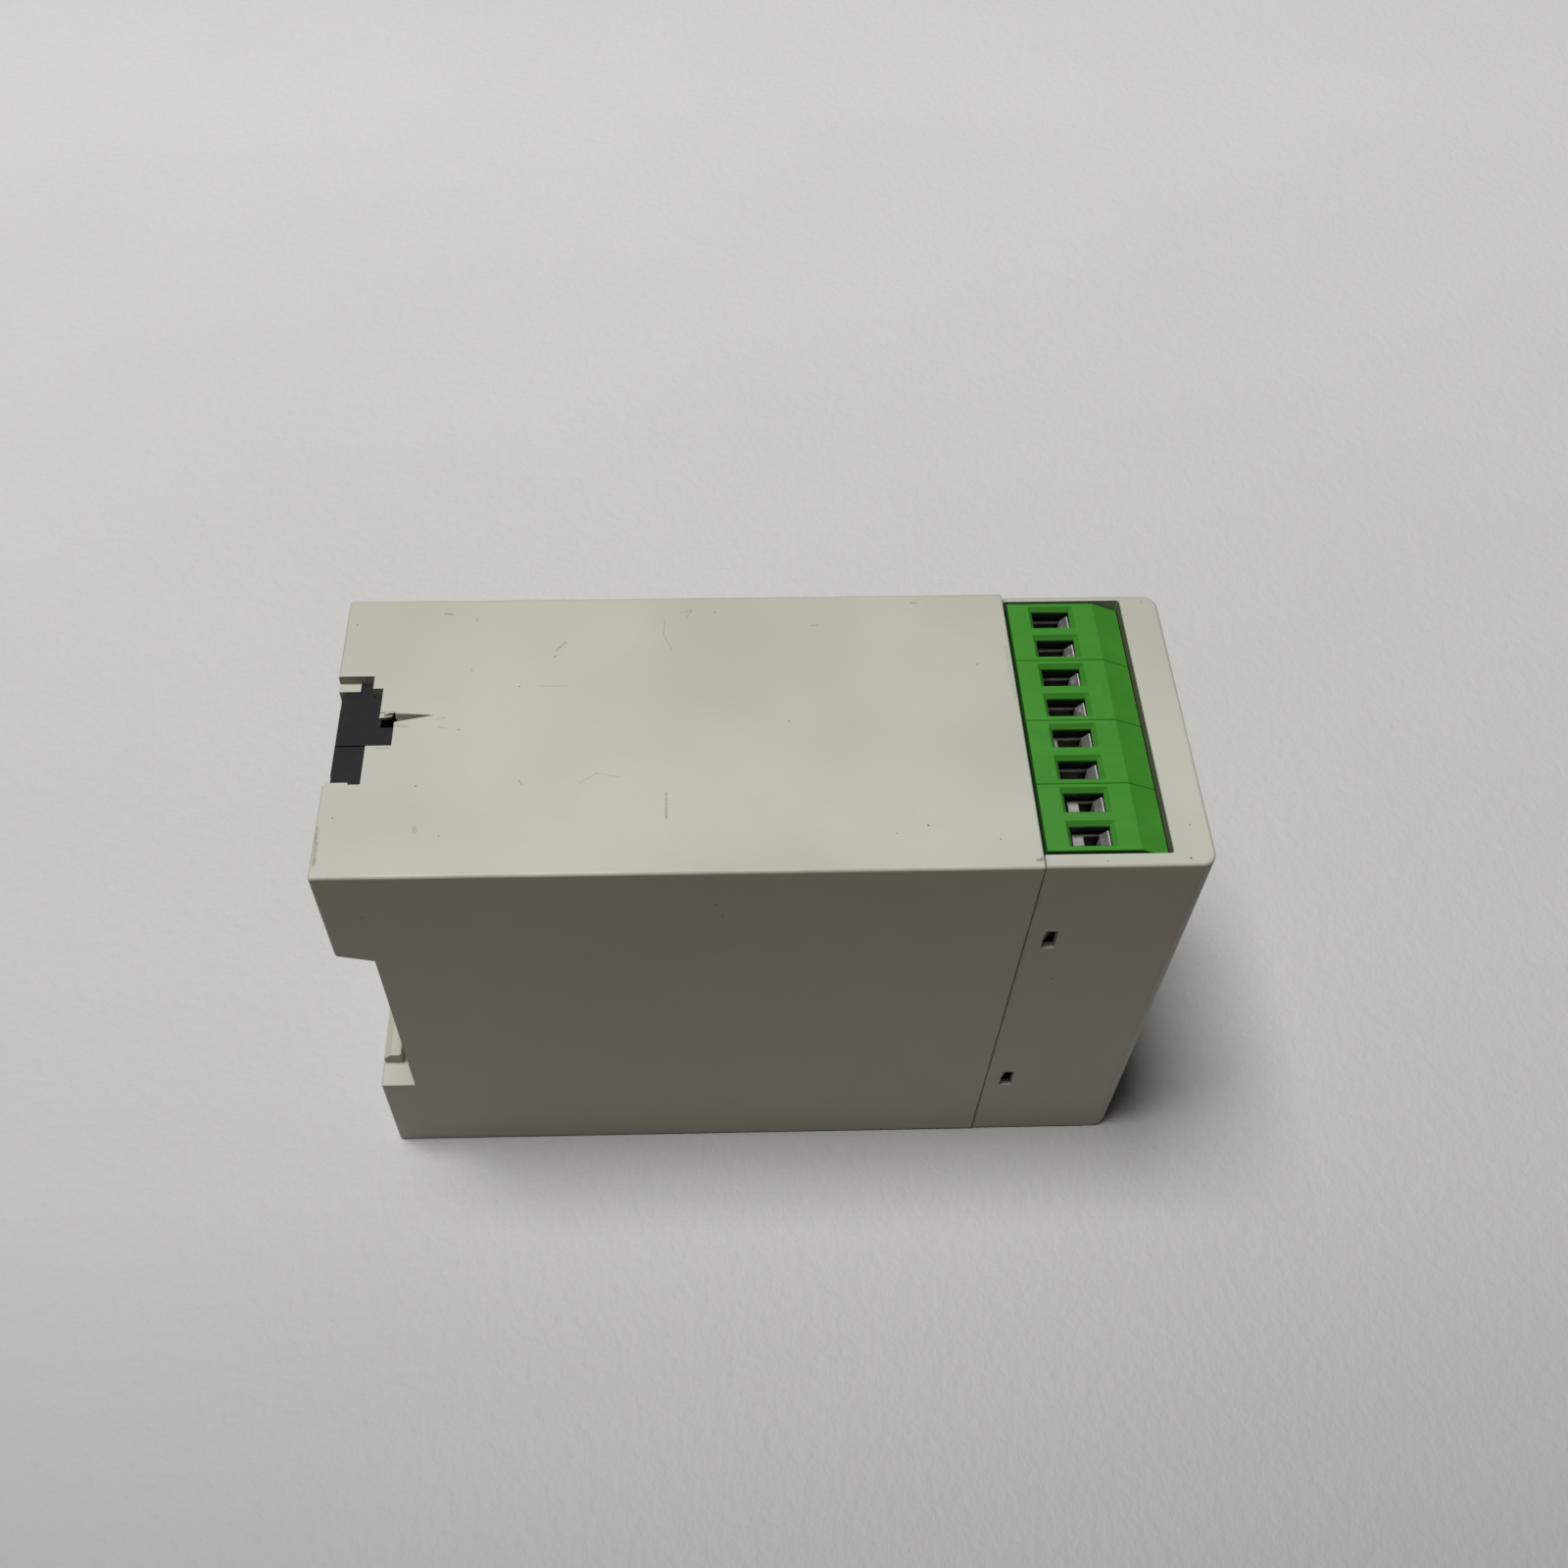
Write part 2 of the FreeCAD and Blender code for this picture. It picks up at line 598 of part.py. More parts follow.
def make_heat_sink():
    # an extrusion with upright fins, a flat for the triacs and a foot on the main board
    foot_x = parts_x + 0.05
    z0, z1 = -sink_half_height, sink_half_height
    plate = box(sink_face_x, sink_face_x + sink_thick, sink_front, sink_rear, z0, z1)
    foot = box(foot_x, sink_face_x + root, sink_front, sink_front + foot_deep, z0, z1)
    fin_step = (sink_rear - sink_front - fin_thick) / (fin_count - 1)
    fins = []
    for i in range(fin_count):
        y = sink_front + i * fin_step
        fins.append(box(sink_face_x + sink_thick - root, fin_reach, y, y + fin_thick, z0, z1))
    holes = [cylinder(tap_radius, 5, (-extra, triac_hole_y, z), (1, 0, 0)) for z in channel_z]
    holes += [cylinder(tap_radius, 9.0, (foot_x - extra, foot_screw_y, up * foot_screw_z), (1, 0, 0))
              for up in (-1, 1)]
    return fused([plate, foot] + fins).cut(holes)


def make_triacs():
    tab_thick, case_thick, case_rear = 1.3, 4.5, -27.0
    lead_x0, lead_x1 = -2.9, -2.3
    parts = []
    for z in channel_z:
        z0, z1 = z - triac_half, z + triac_half
        tab = box(-tab_thick, 0, triac_front, triac_rear, z0, z1)
        tab = tab.cut(cylinder(1.85, 3, (-2, triac_hole_y, z), (1, 0, 0)))
        case = box(-case_thick, -0.4, triac_front, case_rear, z0, z1)
        case = case.makeChamfer(0.4, edges_where(case, lambda e, c: c.x < -case_thick + root))
        leads = []
        for lead_z in (z - lead_pitch, z, z + lead_pitch):
            z0, z1 = lead_z - 0.35, lead_z + 0.35
            y0, y1 = triac_lead_y - 0.3, triac_lead_y + 0.3
            leads.append(box(lead_x0, lead_x1, y0, triac_front + 0.5, z0, z1))
            leads.append(box(main_board_x - 1.0, lead_x1, y0, y1, z0, z1))
        parts.append(fused([tab, case] + leads))
    return Part.makeCompound(parts)


def make_thermal_pads():
    pads = []
    for z in channel_z:
        pad = box(0, sink_face_x, triac_front - 1, triac_rear + 0.8, z - triac_half - 1, z + triac_half + 1)
        pads.append(pad.cut(cylinder(1.85, 2, (-extra, triac_hole_y, z), (1, 0, 0))))
    return Part.makeCompound(pads)


def pan_screw(seat, shank_length):
    # an M3 pan-head screw driven along +X, with the underside of its head at the seat
    head_high, arm_long, arm_wide = 1.9, 4.0, 0.7
    x, y, z = seat
    shank = cylinder(1.25, shank_length, seat, (1, 0, 0))
    head = cylinder(2.7, head_high, seat, (-1, 0, 0))
    head = head.makeFillet(0.9, edges_where(head, lambda e, c: c.x < x - head_high + root))
    cross = []
    for half_y, half_z in ((arm_long / 2, arm_wide / 2), (arm_wide / 2, arm_long / 2)):
        cross.append(box(x - 1.0, x - head_high - extra, y - half_y, y + half_y, z - half_z, z + half_z))
    return fused([shank, head]).cut(cross)


def make_heat_sink_screws():
    screws = [pan_screw((-1.32, triac_hole_y, z), 4.3) for z in channel_z]
    screws += [pan_screw((main_board_x - solder_gap, foot_screw_y, up * foot_screw_z), 8.0) for up in (-1, 1)]
    return Part.makeCompound(screws)


def make_optocouplers():
    length, width, stand_off, top = 8.6, 6.4, 0.5, 3.9
    mid_y = -44.9
    foot = parts_x + solder_gap
    chips = []
    for z in channel_z:
        body = box(parts_x + stand_off, parts_x + top, mid_y - length / 2, mid_y + length / 2,
                   z - width / 2, z + width / 2)
        pieces = [body.makeChamfer(0.3, edges_where(body, lambda e, c: c.x > parts_x + top - root))]
        for side in (-1, 1):
            edge_z = z + side * (width / 2 - root)
            for y in (mid_y - lead_pitch, mid_y, mid_y + lead_pitch):
                pieces.append(box(foot, parts_x + 2.2, y - 0.3, y + 0.3, edge_z, edge_z + side * 0.8))
        chips.append(fused(pieces))
    return Part.makeCompound(chips)


def make_capacitors():
    front, rear, half, high = -75.2, -62.8, 2.8, 11.0
    foot = parts_x + solder_gap
    boxes = []
    for z in channel_z:
        body = box(parts_x + 0.3, parts_x + high, front, rear, z - half, z + half)
        body = body.makeFillet(0.5, body.Edges)
        feet = [box(foot, parts_x + 0.7, y, y + 1.0, z - 2.2, z + 2.2) for y in (front + 0.8, rear - 1.8)]
        boxes.append(fused([body] + feet))
    return Part.makeCompound(boxes)


def make_varistors():
    radius, thick, mid_y = 4.6, 3.6, -53.2
    foot = parts_x + solder_gap
    discs = []
    for z in (-channel_pitch, 0.0, channel_pitch):
        disc = cylinder(radius, thick, (parts_x + 6.2, mid_y, z - thick / 2), (0, 0, 1))
        disc = disc.makeFillet(1.2, edges_where(disc, lambda e, c: len(e.Vertexes) == 1))
        legs = [box(foot, parts_x + 3.4, y - 0.35, y + 0.35, z - 0.35, z + 0.35)
                for y in (mid_y - 1.8, mid_y + 1.8)]
        discs.append(fused([disc] + legs))
    return Part.makeCompound(discs)


def make_resistors():
    radius, length, front = 1.9, 10.0, -33.0
    lead, overhang = 0.4, 2.5
    x = parts_x + 2.4
    parts = []
    for z in channel_z:
        body = cylinder(radius, length, (x, front, z), (0, 1, 0))
        body = body.makeFillet(0.6, edges_where(body, lambda e, c: len(e.Vertexes) == 1))
        wire = cylinder(lead, length + 2 * overhang, (x, front - overhang, z), (0, 1, 0))
        legs = [cylinder(lead, 2.4, (parts_x + solder_gap, y, z), (1, 0, 0))
                for y in (front - overhang + lead, front + length + overhang - lead)]
        parts.append(fused([body, wire] + legs))
    return Part.makeCompound(parts)


def make_leds():
    base_y = board_face_y - solder_gap
    rim_radius, radius, high = 1.9, 1.5, 3.2
    lamps = []
    for x in led_x:
        rim = cylinder(rim_radius, 0.9, (x, base_y, led_z), (0, -1, 0))
        dome = cylinder(radius, high, (x, base_y, led_z), (0, -1, 0))
        dome = dome.makeFillet(1.2, edges_where(dome, lambda e, c: c.y < base_y - high + root))
        lamps.append(fused([rim, dome]))
    return Part.makeCompound(lamps)


def write(name, shape):
    solids = shape.Solids
    good = bool(solids) and all(s.isValid() and s.isClosed() and s.Volume > 0 for s in solids)
    volume = round(sum(s.Volume for s in solids), 1)
    shape.exportStep("parts/" + name + ".step")
    print(name, len(solids), "solid(s),", volume, "mm3", "" if good else "BAD")


def write_terminals():
    block = make_block()
    for row in ("top", "bottom"):
        for place in range(blocks_per_row):
            x = row_shift + (place - (blocks_per_row - 1) / 2) * poles_per_block * pitch
            moved = block.translated(Vec(x, 0, 0))
            write("terminal_block_%s_%d" % (row, place + 1), moved if row == "top" else mirrored(moved))
    bar = make_contact_bar()
    bars = []
    for pole in range(1, 2 * poles_per_row + 1):
        turns = turns_closed[pole - 1]
        write("terminal_screw_%02d" % pole, in_row(make_screw(turns), pole))
        write("wire_clamp_%02d" % pole, in_row(make_clamp(turns), pole))
        bars.append(in_row(bar, pole))
    write("contact_bars", Part.makeCompound(bars))


def main():
    os.makedirs("parts", exist_ok=True)
    write("case", make_case())
    write("front_cover", make_cover())
    write("front_label", make_label())
    write("light_pipes", make_light_pipes())
    write("rail_latch", make_latch())
    write("latch_spring", make_latch_spring())
    write_terminals()
    write("front_board", make_front_board())
    write("main_board", make_main_board())
    write("board_connector", make_connector())
    write("connector_pins", make_connector_pins())
    write("heat_sink", make_heat_sink())
    write("power_triacs", make_triacs())
    write("thermal_pads", make_thermal_pads())
    write("heat_sink_screws", make_heat_sink_screws())
    write("optocouplers", make_optocouplers())
    write("snubber_capacitors", make_capacitors())
    write("varistors", make_varistors())
    write("snubber_resistors", make_resistors())
    write("indicator_leds", make_leds())


main()
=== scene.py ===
import json
import math

import bmesh
import bpy
from mathutils import Matrix, Vector


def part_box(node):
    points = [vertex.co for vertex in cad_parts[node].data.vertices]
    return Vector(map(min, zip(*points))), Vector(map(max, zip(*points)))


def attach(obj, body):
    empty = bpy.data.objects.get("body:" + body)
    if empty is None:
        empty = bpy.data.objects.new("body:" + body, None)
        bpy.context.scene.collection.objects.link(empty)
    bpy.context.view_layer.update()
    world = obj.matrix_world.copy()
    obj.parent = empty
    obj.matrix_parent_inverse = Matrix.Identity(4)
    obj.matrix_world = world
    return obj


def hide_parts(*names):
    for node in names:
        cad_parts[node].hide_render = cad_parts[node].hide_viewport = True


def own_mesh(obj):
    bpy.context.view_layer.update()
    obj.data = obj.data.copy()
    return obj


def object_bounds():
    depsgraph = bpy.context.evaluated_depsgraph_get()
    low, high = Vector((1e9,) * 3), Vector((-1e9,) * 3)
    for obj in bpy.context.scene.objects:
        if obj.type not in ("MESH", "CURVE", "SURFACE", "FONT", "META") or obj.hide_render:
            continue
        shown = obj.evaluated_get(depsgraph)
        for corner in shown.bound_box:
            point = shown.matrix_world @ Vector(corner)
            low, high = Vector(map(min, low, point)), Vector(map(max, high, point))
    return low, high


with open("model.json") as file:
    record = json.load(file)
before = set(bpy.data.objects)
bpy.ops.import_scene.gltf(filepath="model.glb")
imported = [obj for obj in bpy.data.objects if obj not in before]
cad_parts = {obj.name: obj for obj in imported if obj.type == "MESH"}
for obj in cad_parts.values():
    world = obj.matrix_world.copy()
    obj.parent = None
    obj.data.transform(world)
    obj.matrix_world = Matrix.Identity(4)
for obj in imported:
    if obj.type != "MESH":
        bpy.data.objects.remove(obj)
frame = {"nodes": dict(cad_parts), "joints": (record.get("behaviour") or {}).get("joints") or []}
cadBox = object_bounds()
nodes = frame["nodes"]
mm = 0.001


# ---- shader helpers ----
class Sock:
    # one output socket; arithmetic on it adds Math nodes
    def __init__(self, look, out):
        self.look = look
        self.out = out

    def __add__(self, other):
        return self.look.maths("ADD", self, other)

    def __sub__(self, other):
        return self.look.maths("SUBTRACT", self, other)

    def __mul__(self, other):
        return self.look.maths("MULTIPLY", self, other)

    def __rsub__(self, other):
        return self.look.maths("SUBTRACT", other, self)

    __radd__ = __add__
    __rmul__ = __mul__


class Look:
    # a material with its node tree, built by short calls
    def __init__(self, name, **shader):
        self.material = bpy.data.materials.new(name)
        self.material.use_nodes = True
        self.tree = self.material.node_tree
        self.tree.nodes.clear()
        end = self.tree.nodes.new("ShaderNodeOutputMaterial")
        self.shader = self.tree.nodes.new("ShaderNodeBsdfPrincipled")
        self.tree.links.new(self.shader.outputs[0], end.inputs[0])
        for key, value in shader.items():
            self.shader.inputs[key.replace("_", " ")].default_value = value
        self.place = self.node("ShaderNodeTexCoord", out="Object")

    def feed(self, socket, value):
        if isinstance(value, Sock):
            self.tree.links.new(value.out, socket)
        else:
            socket.default_value = value

    def node(self, kind, settings=None, inputs=None, out=0):
        made = self.tree.nodes.new(kind)
        for key, value in (settings or {}).items():
            if key == "stops":
                self.fillRamp(made.color_ramp, value)
            else:
                setattr(made, key, value)
        for key, value in (inputs or {}).items():
            self.feed(made.inputs[key], value)
        return Sock(self, made.outputs[out])

    def fillRamp(self, ramp, stops):
        while len(ramp.elements) < len(stops):
            ramp.elements.new(0.5)
        for element, (spot, tone) in zip(ramp.elements, stops):
            element.position = spot
            element.color = tone if len(tone) == 4 else (*tone, 1)

    def maths(self, operation, first, second=0.0):
        return self.node("ShaderNodeMath", {"operation": operation}, {0: first, 1: second})

    def least(self, first, second):
        return self.maths("MINIMUM", first, second)

    def most(self, first, second):
        return self.maths("MAXIMUM", first, second)

    def step(self, value, low, high):
        # 0 below low and 1 above high, or the other way round when low is the larger
        return self.node("ShaderNodeMapRange", {"interpolation_type": "SMOOTHSTEP"},
                         {0: value, 1: low, 2: high, 3: 0.0, 4: 1.0})

    def blend(self, share, first, second):
        def colour(value):
            return value if isinstance(value, Sock) else (*value, 1)
        return self.node("ShaderNodeMix", {"data_type": "RGBA"},
                         {0: share, 6: colour(first), 7: colour(second)}, out=2)

    def noise(self, size, detail=3.0, rough=0.55, at=None, out="Fac"):
        # size is the width of the pattern's features, in millimetres
        return self.node("ShaderNodeTexNoise", None,
                         {"Vector": at or self.place, "Scale": 1.0 / (size * mm), "Detail": detail,
                          "Roughness": rough}, out=out)

    def stretched(self, scale, turn=(0, 0, 0)):
        return self.node("ShaderNodeMapping", None,
                         {"Vector": self.place, "Scale": scale, "Rotation": turn})

    def axes(self, vector=None):
        split = self.node("ShaderNodeSeparateXYZ", None, {0: vector or self.place})
        return [Sock(self, out) for out in split.out.node.outputs]

    def colour(self, value):
        self.feed(self.shader.inputs["Base Color"], value)

    def rough(self, value):
        self.feed(self.shader.inputs["Roughness"], value)

    def bump(self, height, depth, strength):
        normal = self.node("ShaderNodeBump", None,
                           {"Height": height, "Distance": depth * mm, "Strength": strength})
        self.feed(self.shader.inputs["Normal"], normal)


def edgeDistance(look, low, high):
    # distance from the nearest edge of a box, for a point on its surface
    near = []
    for axis, value in enumerate(look.axes()):
        near.append(look.least(value - low[axis], high[axis] - value))
    a, b, c = near
    return look.most(look.least(a, b), look.least(look.most(a, b), c))


def specks(look, spacing, size, share):
    # scattered dots of different sizes; share is the part of the cells that hold one
    cell = look.node("ShaderNodeTexVoronoi", None,
                     {"Vector": look.place, "Scale": 1.0 / (spacing * mm), "Randomness": 1.0}, out="Distance")
    tint = Sock(look, cell.out.node.outputs["Color"])
    chance, grow, _ = look.axes(tint)
    radius = (grow * 0.8 + 0.35) * (size / spacing)
    dot = look.step(cell, radius, radius * 0.5)
    return dot * look.step(chance, 1 - share, 1 - share + 0.02)


def hairlines(look, spacing, length, width, share):
    # short straight scratches, each turned its own way
    cell = look.node("ShaderNodeTexVoronoi", None,
                     {"Vector": look.place, "Scale": 1.0 / (spacing * mm), "Randomness": 0.8}, out="Position")
    tint = Sock(look, cell.out.node.outputs["Color"])
    away = look.node("ShaderNodeVectorMath", {"operation": "SUBTRACT"}, {0: look.place, 1: cell})
    turn, chance, _ = look.axes(tint)
    spun = look.node("ShaderNodeVectorRotate", {"rotation_type": "AXIS_ANGLE"},
                     {"Vector": away, "Axis": tint, "Angle": turn * 12.0})
    along, across, _ = look.axes(spun)
    along = look.maths("ABSOLUTE", along)
    across = look.maths("ABSOLUTE", across)
    line = look.step(across, width * mm, width * 0.3 * mm)
    line = line * look.step(along, length * mm, length * 0.6 * mm)
    return line * look.step(chance, 1 - share, 1 - share + 0.02)


def stroke(look, start, end, width):
    # a mark between two points, of even width with rounded ends
    a, b = Vector(start) * mm, Vector(end) * mm
    run = b - a
    away = look.node("ShaderNodeVectorMath", {"operation": "SUBTRACT"}, {0: look.place, 1: a})
    part = look.node("ShaderNodeVectorMath", {"operation": "DOT_PRODUCT"},
                     {0: away, 1: run / run.length_squared}, out="Value")
    part = look.node("ShaderNodeClamp", None, {0: part})
    foot = look.node("ShaderNodeVectorMath", {"operation": "SCALE"}, {0: run, "Scale": part})
    gap = look.node("ShaderNodeVectorMath", {"operation": "DISTANCE"}, {0: away, 1: foot}, out="Value")
    return look.step(gap, width * mm, width * 0.25 * mm)


# ---- camera, floor and light ----
view = {
    "place": (-0.13164, -0.04237, 0.20693),
    "aim": (0.6101, -0.0215, -0.7920),
    "side": (-0.0238, -0.9997, 0.0088),
    "lens": 38.16,
    "shift": (0.0316, -0.0328),
}


def addCamera():
    cam = bpy.data.cameras.new("camera")
    cam.lens = view["lens"]
    cam.sensor_width = 36.0
    cam.shift_x, cam.shift_y = view["shift"]
    cam.clip_start = 0.01
    holder = bpy.data.objects.new("camera", cam)
    bpy.context.scene.collection.objects.link(holder)
    back = -Vector(view["aim"]).normalized()
    side = Vector(view["side"]).normalized()
    up = back.cross(side)
    side = up.cross(back)
    turn = Matrix((side, up, back)).transposed().to_4x4()
    holder.matrix_world = Matrix.Translation(view["place"]) @ turn
    bpy.context.scene.camera = holder


room = {
    "floorSize": 6.0,
    "floorTone": (1.0, 0.993, 0.962),
    "fadeFrom": -0.12,
    "fadeTo": 0.30,
    "keyPlace": (0.05, 0.52, 2.6),
    "keySize": 0.95,
    "keyPower": 83.0,
    "fillTone": (1.0, 0.96, 0.88),
    "fillStrength": 0.02,
}
# painted light falloff: the floor is painted darker towards the camera and paler away from it; place along the fade,
# grey
paintedFloorFalloff = [(0.0, 0.27), (0.11, 0.38), (0.21, 0.46), (0.30, 0.49), (0.57, 0.555), (0.93, 0.635)]


def addRoom():
    low = cadBox[0]
    sheet = bmesh.new()
    bmesh.ops.create_grid(sheet, x_segments=1, y_segments=1, size=room["floorSize"] / 2,
                          matrix=Matrix.Translation((0, 0, low.z)))
    floor = keep(sheet, "floor")
    look = Look("paleFoam", Roughness=0.6)
    look.shader.inputs["Specular IOR Level"].default_value = 0.35
    fine = look.noise(1.6, 4.0)
    wide = look.noise(60, 3.0)
    across = look.axes()[0] - room["fadeFrom"]
    across = across * (1 / (room["fadeTo"] - room["fadeFrom"]))
    stops = [(spot, tuple(grey * c for c in room["floorTone"])) for spot, grey in paintedFloorFalloff]
    # painted light falloff across the floor, from the listed stops
    fade = look.node("ShaderNodeValToRGB", {"stops": stops}, {0: across})
    look.colour(look.blend(wide * 0.12 + fine * 0.10, fade, (0.30, 0.30, 0.29)))
    look.bump(fine, 0.35, 0.6)
    floor.data.materials.append(look.material)

    key = bpy.data.lights.new("softLight", "AREA")
    key.shape = "SQUARE"
    key.size = room["keySize"]
    key.energy = room["keyPower"]
    lamp = bpy.data.objects.new("softLight", key)
    bpy.context.scene.collection.objects.link(lamp)
    lamp.location = room["keyPlace"]
    lamp.rotation_mode = "QUATERNION"
    lamp.rotation_quaternion = (-Vector(room["keyPlace"])).to_track_quat("-Z", "Y")

    world = bpy.data.worlds.new("studio")
    world.use_nodes = True
    bpy.context.scene.world = world
    sky = world.node_tree.nodes["Background"]
    sky.inputs["Color"].default_value = (*room["fillTone"], 1)
    sky.inputs["Strength"].default_value = room["fillStrength"]
    bpy.context.scene.view_settings.view_transform = "Standard"


def keep(mesh, name, smooth=False):
    # turns a finished bmesh into a linked object
    data = bpy.data.meshes.new(name)
    mesh.to_mesh(data)
    mesh.free()
    for face in data.polygons:
        face.use_smooth = smooth
    made = bpy.data.objects.new(name, data)
    bpy.context.scene.collection.objects.link(made)
    return made


def setLook(names, look):
    for name in names:
        for holder in nodes[name].material_slots:
            holder.material = look.material


# ---- housing ----
housing = {
    "light": (0.445, 0.440, 0.380),
    "dark": (0.395, 0.388, 0.330),
    "yellowed": (0.400, 0.385, 0.300),
    # painted shade for the side faces
    "paintedSideShade": (0.395, 0.355, 0.277),
    "grime": (0.110, 0.085, 0.060),
    # brown for stains, and for painted shade and shadow
    "stainAndShade": (0.130, 0.095, 0.060),
    "torn": (0.100, 0.075, 0.055),
    "shadow": (0.012, 0.010, 0.008),
    "gapWall": -100.35,
    "grainSize": 0.35,
    "grainDepth": 0.03,
    "roughness": 0.55,
}

endFaceZ = 37.5
# marks on the upper end face, stains and one painted shadow: from, to (x, y), half width, share of the tone
endFaceMarks = [
    ((19.9, -8.2), (19.8, -9.2), 0.18, 0.80),
    ((13.1, -23.5), (14.6, -24.7), 0.15, 0.60),
    ((-10.5, -38.2), (-14.4, -38.2), 0.18, 0.60),
    ((18.3, -38.0), (15.7, -37.8), 0.10, 0.45),
    ((15.7, -37.8), (13.1, -38.9), 0.10, 0.40),
    ((19.6, -40.2), (20.1, -41.7), 0.12, 0.45),
    ((20.1, -41.7), (18.7, -40.9), 0.12, 0.40),
    ((-8.8, -27.3), (-7.3, -29.4), 0.10, 0.30),
    ((-7.3, -29.4), (-7.9, -32.2), 0.10, 0.30),
    ((7.0, -21.6), (7.0, -25.2), 0.08, 0.35),
    ((-8.3, -19.7), (-8.9, -20.1), 0.15, 0.50),
    ((20.9, -71.6), (20.9, -72.6), 0.16, 0.60),
    ((17.0, -57.8), (17.1, -58.8), 0.16, 0.50),
    ((12.8, -83.7), (3.9, -83.9), 0.30, 0.18),
    ((-15.2, -7.2), (-15.9, -7.3), 0.40, 0.35),
    ((-15.0, 4.7), (-20.5, 4.4), 0.35, 0.50),
    ((-21.2, -84.1), (-21.35, -83.5), 0.35, 0.85),
    # painted shadow beside a small bump on the near side of the latch stem
    ((-2.9, -1.3), (-2.85, -2.8), 0.16, 0.65),
    ((0.8, -3.2), (0.6, -4.8), 0.30, 0.35),
    ((1.8, -8.7), (1.9, -9.6), 0.22, 0.30),
    ((0.4, -8.9), (0.3, -9.8), 0.16, 0.35),
]
# single dark dots on the same face, with their radii
endFaceDots = [
    (12.1, -23.4, 0.16), (18.1, 3.5, 0.14), (18.8, -12.6, 0.12), (9.9, -12.5, 0.12),
    (7.0, -18.9, 0.14), (-8.9, -6.8, 0.16), (-16.5, -10.3, 0.13), (-13.6, 3.0, 0.14),
    (19.6, -44.8, 0.14), (9.8, -79.6, 0.15), (0.6, -54.1, 0.13), (-16.0, -70.6, 0.20),
    (-17.1, -66.6, 0.14), (-18.2, -79.3, 0.15),
]
coverDots = [(-21.6, -92.0, 0.15), (-16.5, -103.0, 0.16), (-21.4, -102.2, 0.22), (20.6, -103.4, 0.12)]


def housingLook(name, low, high, marks, spots):
    look = Look(name, Roughness=housing["roughness"])
    look.shader.inputs["Specular IOR Level"].default_value = 0.42
    broad = look.noise(38, 2.0)
    patch = look.noise(7, 4.0, 0.6)
    grain = look.noise(housing["grainSize"], 2.0, 0.7)
    tone = look.blend(look.step(broad, 0.35, 0.68), housing["light"], housing["dark"])
    tone = look.blend(look.step(patch, 0.52, 0.8) * 0.35, tone, housing["yellowed"])
    tone = look.blend(look.step(grain, 0.45, 0.8) * 0.12, tone, housing["dark"])

    # painted shade: both side faces are painted darker and browner than the ends
    x = look.axes()[0]
    sideFace = look.step(look.least(x - low[0], high[0] - x), 0.12 * mm, 0.04 * mm)
    tone = look.blend(sideFace * 0.8, tone, housing["paintedSideShade"])

    edge = edgeDistance(look, low, high)
    dirt = look.step(edge + patch * 0.0022, 0.0020, 0.0004)
    rubbed = look.step(patch, 0.40, 0.62)
    tone = look.blend(dirt * rubbed * 0.42, tone, housing["grime"])
    dots = look.most(specks(look, 5.5, 0.22, 0.16), specks(look, 2.3, 0.07, 0.22))
    scuffs = hairlines(look, 13, 1.6, 0.05, 0.12)
    tone = look.blend(dots * 0.62, tone, housing["grime"])
    tone = look.blend(scuffs * 0.30, tone, housing["grime"])
    # stains, and one painted shadow, drawn along the listed marks
    for start, end, width, share in marks:
        line = stroke(look, (*start, endFaceZ), (*end, endFaceZ), width)
        tone = look.blend(line * look.step(grain, 0.25, 0.6) * share, tone, housing["stainAndShade"])
    for x, y, radius in spots:
        gap = look.node("ShaderNodeVectorMath", {"operation": "DISTANCE"},
                        {0: look.place, 1: (x * mm, y * mm, endFaceZ * mm)}, out="Value")
        tone = look.blend(look.step(gap, radius * mm, radius * 0.5 * mm) * 0.8, tone, housing["grime"])
    look.colour(tone)
    look.rough(patch * 0.14 + grain * 0.08 + (housing["roughness"] - 0.10) - dirt * 0.08)
    height = grain * 0.6 + look.noise(1.3, 2.0) * 0.4 - scuffs * 0.8 - dots * 0.3
    look.bump(height, housing["grainDepth"], 0.7)
    return look


# the latch slot: dirt at its torn edge, painted shade on the wall beyond the ledge and painted shade in the depth of
# the stem slot
slotSoilAndShade = {
    "tornFrom": (2.0, -2.8, 37.2),
    "tornTo": (2.4, -8.6, 37.2),
    "tornWidth": 1.3,
    "lipStart": 0.02,
    "lipFull": 0.06,
    "wallBottom": (31.0, 33.0),
    "wallNear": (8.90, 8.95),
    "wallFar": (9.4, 9.2),
    "wallRear": (1.9, 2.0),
    "deepTop": (36.9, 36.8),
    "deepBottom": (30.0, 31.0),
    "deepHalf": (4.2, 4.0),
    "deepFront": (-3.4, -3.2),
    "deepRear": (0.0, -0.2),
}


